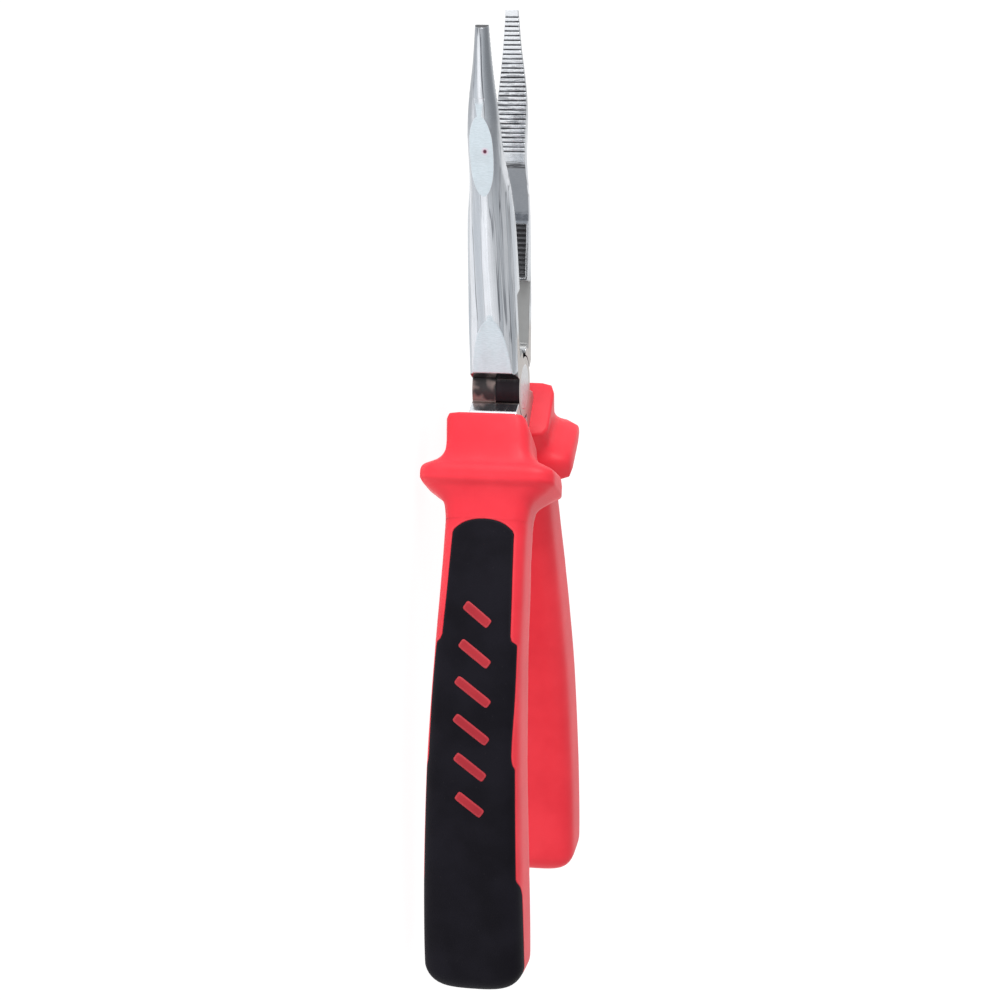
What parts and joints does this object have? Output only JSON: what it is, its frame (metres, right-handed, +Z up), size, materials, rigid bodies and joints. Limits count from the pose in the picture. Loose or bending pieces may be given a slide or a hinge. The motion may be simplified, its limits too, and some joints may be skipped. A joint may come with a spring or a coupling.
{
  "type": "insulated long-nose pliers",
  "caption": "Insulated long-nose pliers with side cutters, guarded two-colour handles and a lap joint, standing part open.",
  "frame": {"origin": "on the pivot axis, in the plane where the two lapped halves meet, so the tool lies flat about it", "axes": "+X along the tool to the jaw tips, Y the way the jaws open, +Z up along the pivot axis"},
  "size_m": [0.1944, 0.0822, 0.0286],
  "materials": {
    "steel": "polished with matt ground flats",
    "rivet_steel": "ground flush",
    "red_insulation": "satin moulded",
    "black_soft_grip": "matt soft moulding"
  },
  "bodies": {
    "upper_half": {"upper_lever": "steel", "joint_rivet": "rivet_steel", "upper_sleeve": "red_insulation", "upper_grip": "black_soft_grip"},
    "lower_half": {"lower_lever": "steel", "lower_sleeve": "red_insulation", "lower_grip": "black_soft_grip"}
  },
  "joints": [
    {"name": "pivot", "type": "hinge", "parent": "upper_half", "child": "lower_half", "pos_m": [0, 0, 0], "axis": [0, 0, -1], "range_deg": [-24, 36]}
  ]
}
